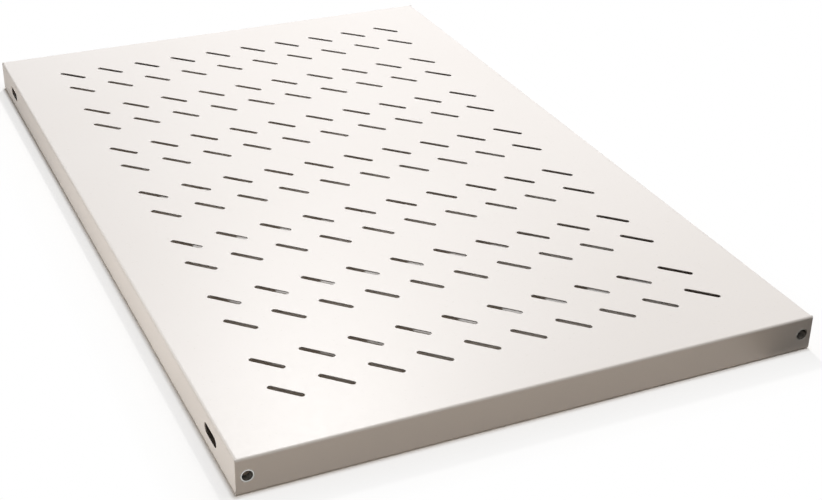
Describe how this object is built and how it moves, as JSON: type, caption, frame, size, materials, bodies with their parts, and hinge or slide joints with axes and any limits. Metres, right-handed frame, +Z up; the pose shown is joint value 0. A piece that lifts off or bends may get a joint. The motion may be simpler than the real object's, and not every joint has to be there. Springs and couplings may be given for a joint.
{
  "type": "rack shelf",
  "caption": "Shallow rack shelf folded from sheet steel, with slanted ventilation slots in its flat top, slotted side walls and threaded end walls.",
  "frame": {"origin": "centre of the shelf's outline, on the plane of the return lips it stands on", "axes": "+X to the right seen from the front, +Y from the front wall to the rear wall, +Z up through the flat top"},
  "size_m": [0.4826, 0.77, 0.03],
  "materials": {
    "coated_sheet": "fine satin powder coat",
    "zinc_nut": "bright zinc plating"
  },
  "bodies": {
    "root": {"tray": "coated_sheet", "press_nut_front_left": "zinc_nut", "press_nut_front_right": "zinc_nut", "press_nut_rear_left": "zinc_nut", "press_nut_rear_right": "zinc_nut"}
  },
  "joints": []
}
